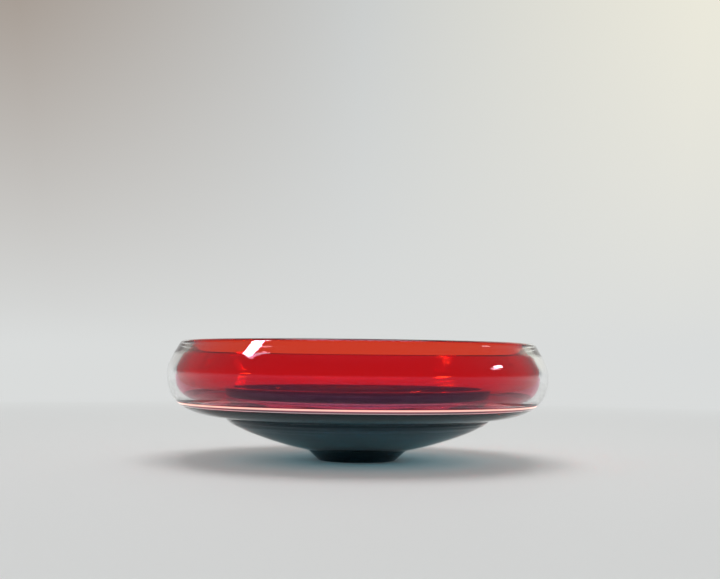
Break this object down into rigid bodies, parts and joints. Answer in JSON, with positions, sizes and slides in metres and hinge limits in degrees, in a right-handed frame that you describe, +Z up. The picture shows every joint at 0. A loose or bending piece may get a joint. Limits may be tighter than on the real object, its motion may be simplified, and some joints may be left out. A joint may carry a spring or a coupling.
{
  "type": "art glass bowl",
  "caption": "Wide shallow centrepiece bowl: ruby glass wall cased in clear, clear joint band, smoke-grey underside and a small applied foot.",
  "frame": {"origin": "on the table under the middle of the foot", "axes": "+Z up through the middle of the bowl; the bowl is round, so +X and +Y are any two sides"},
  "size_m": [0.296, 0.296, 0.0915],
  "materials": {
    "clear_glass": "clear polished glass",
    "ruby_glass": "transparent ruby red glass, fire polished",
    "smoke_glass": "transparent smoke grey glass, fire polished",
    "foot_glass": "dense blue-black smoke glass, ground flat underneath"
  },
  "bodies": {
    "root": {"clear_casing": "clear_glass", "ruby_layer": "ruby_glass", "clear_gather": "clear_glass", "joint_band": "clear_glass", "smoke_shoulder": "smoke_glass", "smoke_dish": "smoke_glass", "foot": "foot_glass"}
  },
  "joints": []
}
